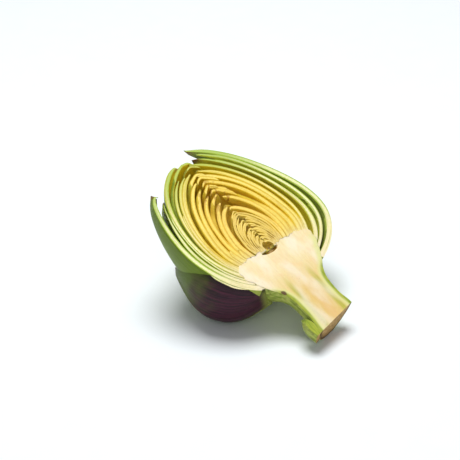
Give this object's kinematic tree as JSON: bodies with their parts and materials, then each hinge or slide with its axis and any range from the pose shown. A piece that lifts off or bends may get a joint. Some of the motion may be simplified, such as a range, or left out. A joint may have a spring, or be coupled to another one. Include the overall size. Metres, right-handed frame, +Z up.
{
  "type": "artichoke half",
  "caption": "Globe artichoke cut in half lengthwise, lying on its round back: overlapping green and purple bracts, yellow inner bracts in layers, a cream heart and a short cut stem.",
  "frame": {"origin": "middle of the half's box, on the surface that it lies on", "axes": "+Z up, out of the cut face; +Y from the stem towards the tip; +X across the cut face, to the right with the tip ahead"},
  "size_m": [0.086, 0.1048, 0.0665],
  "materials": {
    "heart": "moist cut flesh, cream at the heart and peach in the stem, with a green skin",
    "inner_bract": "thin moist yellow leaves with fine lengthwise fibres",
    "choke": "fine straw-coloured scales and bristles",
    "outer_bract": "waxy grey-green leaf with fine lengthwise streaks and a brown tip",
    "purple_bract": "waxy dark purple leaf with green edges"
  },
  "bodies": {
    "root": {"stem_and_heart": "heart", "inner_bracts": "inner_bract", "choke": "choke", "outer_bract_01": "purple_bract", "outer_bract_02": "outer_bract", "outer_bract_04": "outer_bract", "outer_bract_06": "outer_bract", "outer_bract_07": "outer_bract", "outer_bract_09": "outer_bract", "outer_bract_10": "outer_bract", "outer_bract_11": "outer_bract", "outer_bract_12": "outer_bract", "outer_bract_14": "outer_bract", "outer_bract_15": "outer_bract", "outer_bract_17": "outer_bract", "outer_bract_19": "outer_bract", "outer_bract_20": "outer_bract"}
  },
  "joints": []
}
